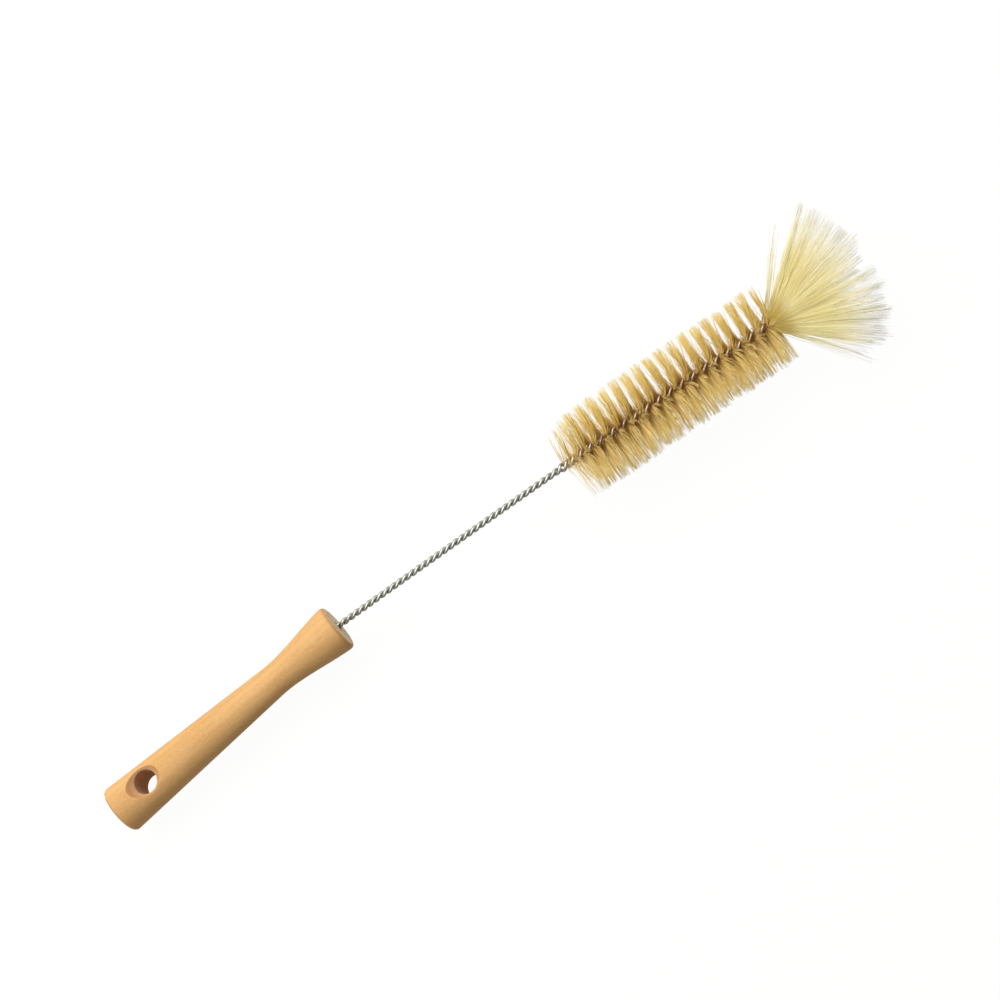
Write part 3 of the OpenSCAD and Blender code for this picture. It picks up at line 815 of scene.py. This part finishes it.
tan = bristle_finish(
    "tan_bristle", root=rgb(166, 120, 56), light=rgb(243, 221, 146), deep=rgb(223, 196, 112),
    tip=rgb(252, 232, 174), deep_tip=rgb(222, 194, 118), dark_hair=rgb(96, 68, 36),
    root_reach=(0.02, 0.48), tip_reach=(0.7, 1.0), root_glow=0.45)
spiral_bristles.data.materials.append(tan)
print(tan.name, "of", len(tan.node_tree.nodes), "nodes")

# %% [markdown]
# ## The tip tuft
# A bundle of longer bristles is doubled through the fold of the wire, which grips it at its middle.
# Its hairs part from the wire a few millimetres before the fold and open as a flattened fan. Each
# aims from its own point on the line, so the fan is already wide where it passes the fold. The hairs
# gather in wedge-shaped clumps towards their tips. Rather more than half of them end short, so the fan
# is thick for two thirds of its length and thin beyond. It is a little shorter in its middle and at its
# right edge. A thin wisp stands off its left edge, and loose hairs off its right one.

# %% Tip tuft: where each hair goes
rng = np.random.default_rng(5)
TUFT_HAIRS, TUFT_CLUMPS, CROWD = 2400, 80, 0.34
PULL, SIDE_SCATTER, UP_SCATTER = (0.3, 0.9), 0.7, 0.9
FAN_LEFT, FAN_RIGHT = TUFT_SPREAD - TUFT_TURN + 1, TUFT_SPREAD + TUFT_TURN - 6


def fan_points(count):
    """Angles (sideways, up) in degrees inside the fan's oval, closer together towards its rim.

    Sideways is middle + half-width * out * cos(way), and up is rise or drop * out * sin(way), where out
    is a random share to the power CROWD.
    """
    way, out = rng.uniform(0, 2 * np.pi, count), rng.random(count) ** CROWD
    sideways, lift = out * np.cos(way), out * np.sin(way)
    middle, half = (FAN_LEFT - FAN_RIGHT) / 2, (FAN_LEFT + FAN_RIGHT) / 2
    return middle + half * sideways, np.where(lift > 0, TUFT_RISE, TUFT_DROP) * lift


clump_side, clump_up = fan_points(TUFT_CLUMPS)
hair_side, hair_up = fan_points(TUFT_HAIRS)
apart = (hair_side[:, None] - clump_side) ** 2 + (hair_up[:, None] - clump_up) ** 2
nearest = np.argmin(apart, axis=1)
pull = rng.uniform(*PULL, TUFT_HAIRS)
end_side = hair_side + pull * (clump_side[nearest] - hair_side) + rng.normal(0, SIDE_SCATTER, TUFT_HAIRS)
end_up = hair_up + pull * (clump_up[nearest] - hair_up) + rng.normal(0, UP_SCATTER, TUFT_HAIRS)
print("tuft from", -FAN_RIGHT, "to", FAN_LEFT, "degrees, in", TUFT_CLUMPS, "clumps")

# %% Tip tuft: how long each hair is
SHORT_SHARE, SHORT_L, EDGE_SHORTER, CLUMP_UNEVEN, TUFT_UNEVEN = 0.58, (20, 39), 0.35, 1.0, 1.5
short = rng.random(TUFT_HAIRS) < SHORT_SHARE
clump_reach = rng.normal(0, CLUMP_UNEVEN, TUFT_CLUMPS)[nearest]
# Angles above 0 are on the left, and the fan's own middle is at -TUFT_TURN
edge_reach = (TUFT_L - 2.6 + ramp(np.abs(end_side + TUFT_TURN) / 35)
              - 1.5 * ramp((end_side - 30) / 15) - 2 * ramp(1 - np.abs(end_side - 4) / 9)
              - 2.5 * ramp((-end_side - 26) / 8) - 6 * ramp((-end_side - 38) / 12))
at_right_edge = ramp((-end_side - 36) / 8)
tuft_length = np.where(short, rng.uniform(*SHORT_L, TUFT_HAIRS) * (1 - EDGE_SHORTER * at_right_edge),
                       edge_reach + clump_reach - np.abs(rng.normal(0, TUFT_UNEVEN, TUFT_HAIRS)))
tuft_length = np.minimum(tuft_length, TUFT_L - 0.2)
print(short.sum(), "short hairs, to", tuft_length.max().round(1), "mm at the longest")

# %% Tip tuft: the hairs along its two edges
# A thin wisp stands off the left edge, and loose hairs lie along the right edge
STRAYS_LEFT, STRAYS_RIGHT, WISP_L, LOOSE_L, DARK_EDGE = 20, 26, (22, 37), (30, 41), 4
strays = STRAYS_LEFT + STRAYS_RIGHT
end_side[:STRAYS_LEFT] = FAN_LEFT + rng.normal(4.0, 1.4, STRAYS_LEFT)
end_side[STRAYS_LEFT:strays] = -FAN_RIGHT - rng.uniform(-2, 7, STRAYS_RIGHT)
end_up[:strays] = rng.uniform(-8, 8, strays)
hair_side[:strays], hair_up[:strays] = end_side[:strays], end_up[:strays]
tuft_length[:STRAYS_LEFT] = rng.uniform(*WISP_L, STRAYS_LEFT)
tuft_length[STRAYS_LEFT:strays] = rng.uniform(*LOOSE_L, STRAYS_RIGHT)
# A few long dark hairs lie along the left edge
edge_hairs = slice(strays, strays + DARK_EDGE)
end_side[edge_hairs] = FAN_LEFT + rng.normal(-2.5, 0.25, DARK_EDGE)
hair_side[edge_hairs] = end_side[edge_hairs]
tuft_length[edge_hairs] = TUFT_L - rng.uniform(0.2, 3, DARK_EDGE)
end_up[edge_hairs] = hair_up[edge_hairs] = rng.uniform(4, 9, DARK_EDGE)
print(strays, "hairs off the edges, and", DARK_EDGE, "long dark ones")

# %% Tip tuft: the paths
TUFT_STEPS = np.array([0.0, 0.03, 0.08, 0.2, 0.4, 0.6, 0.8, 1.0])
step = TUFT_STEPS[None]
start_side, start_up = hair_side[:, None], hair_up[:, None]
turn_side = np.radians(start_side + (end_side[:, None] - start_side) * step ** 0.8)
turn_up = np.radians(start_up + (end_up[:, None] - start_up) * step ** 0.8)
along, side, up = frame_at(np.array(S_FOLD))
out = tuft_length[:, None] * step
direction = (np.cos(turn_up)[..., None] * (np.cos(turn_side)[..., None] * along
                                           + np.sin(turn_side)[..., None] * side)
             + np.sin(turn_up)[..., None] * up)
# Each hair leaves the line some way back from the fold, and is drawn in where the fold grips it
THROAT_L, THROAT_SHARE, BASE_HALF_H, BASE_SCATTER = 3.0, 0.2, 1.9, 0.2
BACK_L, WISP_BACK_L, DARK_BACK_L = (2.0, 5.5), (4.0, 7.0), 1.5
back = rng.uniform(*BACK_L, TUFT_HAIRS)
back[:STRAYS_LEFT], back[edge_hairs] = rng.uniform(*WISP_BACK_L, STRAYS_LEFT), DARK_BACK_L
base = (np.stack([np.tan(np.radians(hair_side)) * back, hair_up / TUFT_RISE * BASE_HALF_H], axis=-1)
        + rng.normal(0, BASE_SCATTER, (TUFT_HAIRS, 2)))
opened = smooth(out / THROAT_L)[..., None]
width = THROAT_SHARE + (1 - THROAT_SHARE) * opened
TUFT_R, TUFT_TIP_R, BOW_SIDE, BOW_UP = 0.11, 0.05, 0.7, 0.5
tuft_paths = (line_at(np.array(S_FOLD)) + out[..., None] * direction
              - back[:, None, None] * (1 - opened) * along
              + width * (base[:, None, :1] * side + base[:, None, 1:] * up)
              + rng.normal(0, BOW_SIDE, (TUFT_HAIRS, 1, 1)) * ((step - step ** 2) * 2)[..., None] * side
              + rng.normal(0, BOW_UP, (TUFT_HAIRS, 1, 1)) * ((step - step ** 2) * 2)[..., None] * up)
radii = np.broadcast_to(TUFT_R - (TUFT_R - TUFT_TIP_R) * step ** 2, out.shape)
radii = radii * rng.uniform(0.8, 1.15, (TUFT_HAIRS, 1))
tuft_paths[..., 2] = np.maximum(tuft_paths[..., 2], radii + TABLE_GAP)
print("tuft tips from z", tuft_paths[..., 2].min().round(2), "to", tuft_paths[..., 2].max().round(2))

# %% Tip tuft: the mesh
# The hairs on the right are the palest
tone = 0.5 * rng.random(TUFT_HAIRS) + 0.5 * rng.random(TUFT_CLUMPS)[nearest]
tone = ramp(tone - 0.45 * ramp((-end_side - 10) / 30))[:, None] + 0 * step
TUFT_DARK_SHARE = 0.05
dark_hairs = (rng.random(TUFT_HAIRS) < TUFT_DARK_SHARE).astype(float)
dark_hairs[edge_hairs] = 1
dark = dark_hairs[:, None] * ramp(step * 1.5)
tip_hairs = add_hairs("tip_hairs", tuft_paths, radii, up, {
    "reach": out / TUFT_L, "tone": tone, "dark": dark}, rng)
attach(tip_hairs, "root")
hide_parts("tip_tuft")
straw = bristle_finish(
    "straw_bristle", root=rgb(217, 195, 102), light=rgb(246, 240, 196), deep=rgb(234, 221, 158),
    tip=rgb(255, 252, 242), deep_tip=rgb(246, 237, 192), dark_hair=rgb(140, 126, 92),
    root_reach=(0.0, 0.2), tip_reach=(0.35, 0.9), root_glow=0.7)
tip_hairs.data.materials.append(straw)

# %% [markdown]
# ## Table and light
# The table is plain white. For the camera it is lifted most of the way to pure white, so that the
# brush stands against a clean background, but it still shows the brush's soft shadow. The light it
# throws back is that of a light warm grey, so the far side of the handle stays dark and warm. One long
# soft lamp stands on the brush's left, halfway up and a little towards the butt, and the sky fills
# the rest: the lit side of the handle gets about three times the light of its far side. Shiny surfaces
# see the table and the sky less bright than the camera does, and the sky brighter on the lamp's side,
# so that the wire has both bright and dark streaks.

# %% Table
TABLE_HALF = 2.0
table_corners = np.array([(-1, -1, 0), (1, -1, 0), (1, 1, 0), (-1, 1, 0)]) * TABLE_HALF
floor_mesh = bpy.data.meshes.new("table")
floor_mesh.from_pydata(table_corners.tolist(), [], [(0, 1, 2, 3)])
floor = bpy.data.objects.new("table", floor_mesh)
bpy.context.scene.collection.objects.link(floor)
WHITE = (1.0, 1.0, 1.0, 1.0)
FLOOR_LIFT, TABLE_SHARE, TABLE_GLOW = 0.92, 0.3, 1.05

paper = Finish("white_table", Base_Color=(0.74, 0.70, 0.60, 1.0), Roughness=0.8, Specular_IOR_Level=0.0)
path = paper.node("ShaderNodeLightPath")
mirrored = path.out("Is Glossy Ray") * TABLE_SHARE
seen = paper.largest(path.out("Is Camera Ray"), mirrored, path.out("Is Transmission Ray"))
lit = Made(paper, paper.shader).out()
shown = paper.node("ShaderNodeEmission", {}, {"Color": WHITE, "Strength": TABLE_GLOW}).out()
mixed = paper.node("ShaderNodeMixShader", {}, {0: seen * FLOOR_LIFT, 1: lit, 2: shown}).out()
paper.feed(paper.tree.nodes["Material Output"].inputs["Surface"], mixed)
floor_mesh.materials.append(paper.material)
print("table", 2 * TABLE_HALF, "m across")

# %% Sky
SKY, SKY_SHARE, SKY_SLOPE = 0.18, 0.6, 1.7
sky = bpy.data.worlds.new("sky")
sky.use_nodes = True
bpy.context.scene.world = sky
room = Nodes(sky.node_tree)
ray = room.node("ShaderNodeLightPath")
sky_way = room.node("ShaderNodeTexCoord").out("Generated")
to_lamp_side = room.node("ShaderNodeSeparateXYZ", {}, {0: sky_way}).out("Y")
glossy = ray.out("Is Glossy Ray") * (to_lamp_side * SKY_SLOPE + 1) * SKY_SHARE
seen = room.largest(ray.out("Is Camera Ray"), glossy, ray.out("Is Transmission Ray"))
lit = room.node("ShaderNodeBackground", {}, {"Color": WHITE, "Strength": SKY}).out()
shown = room.node("ShaderNodeBackground", {}, {"Color": WHITE, "Strength": 1.0}).out()
mixed = room.node("ShaderNodeMixShader", {}, {0: seen, 1: lit, 2: shown}).out()
room.feed(room.tree.nodes["World Output"].inputs["Surface"], mixed)
print("sky strength on the brush", SKY)

# %% Lamp
LAMP_WATTS, LAMP_L, LAMP_W, LAMP_TINT = 16.0, 2.4, 0.6, (0.98, 1.0, 1.05)
LAMP_DISTANCE, LAMP_HEIGHT, LAMP_AROUND = 1.1, 47.0, 15.0
lamp_data = bpy.data.lights.new("soft_strip", "AREA")
lamp_data.shape, lamp_data.size, lamp_data.size_y = "RECTANGLE", LAMP_L, LAMP_W
lamp_data.energy, lamp_data.color = LAMP_WATTS, LAMP_TINT
lamp = bpy.data.objects.new("soft_strip", lamp_data)
bpy.context.scene.collection.objects.link(lamp)
lamp_turn, lamp_around = np.radians(LAMP_HEIGHT), np.radians(LAMP_AROUND)
lamp_reach = LAMP_DISTANCE * np.cos(lamp_turn)
lamp.location = (-lamp_reach * np.sin(lamp_around), lamp_reach * np.cos(lamp_around),
                 LAMP_DISTANCE * np.sin(lamp_turn))
lamp.rotation_euler = (-(np.pi / 2 - lamp_turn), 0, lamp_around)
print("lamp at", np.round(lamp.location, 2))

# %% View and bounces
BOUNCES = 12
bpy.context.scene.view_settings.view_transform = "Standard"
bpy.context.scene.cycles.diffuse_bounces = bpy.context.scene.cycles.max_bounces = BOUNCES
print("bounces", BOUNCES)
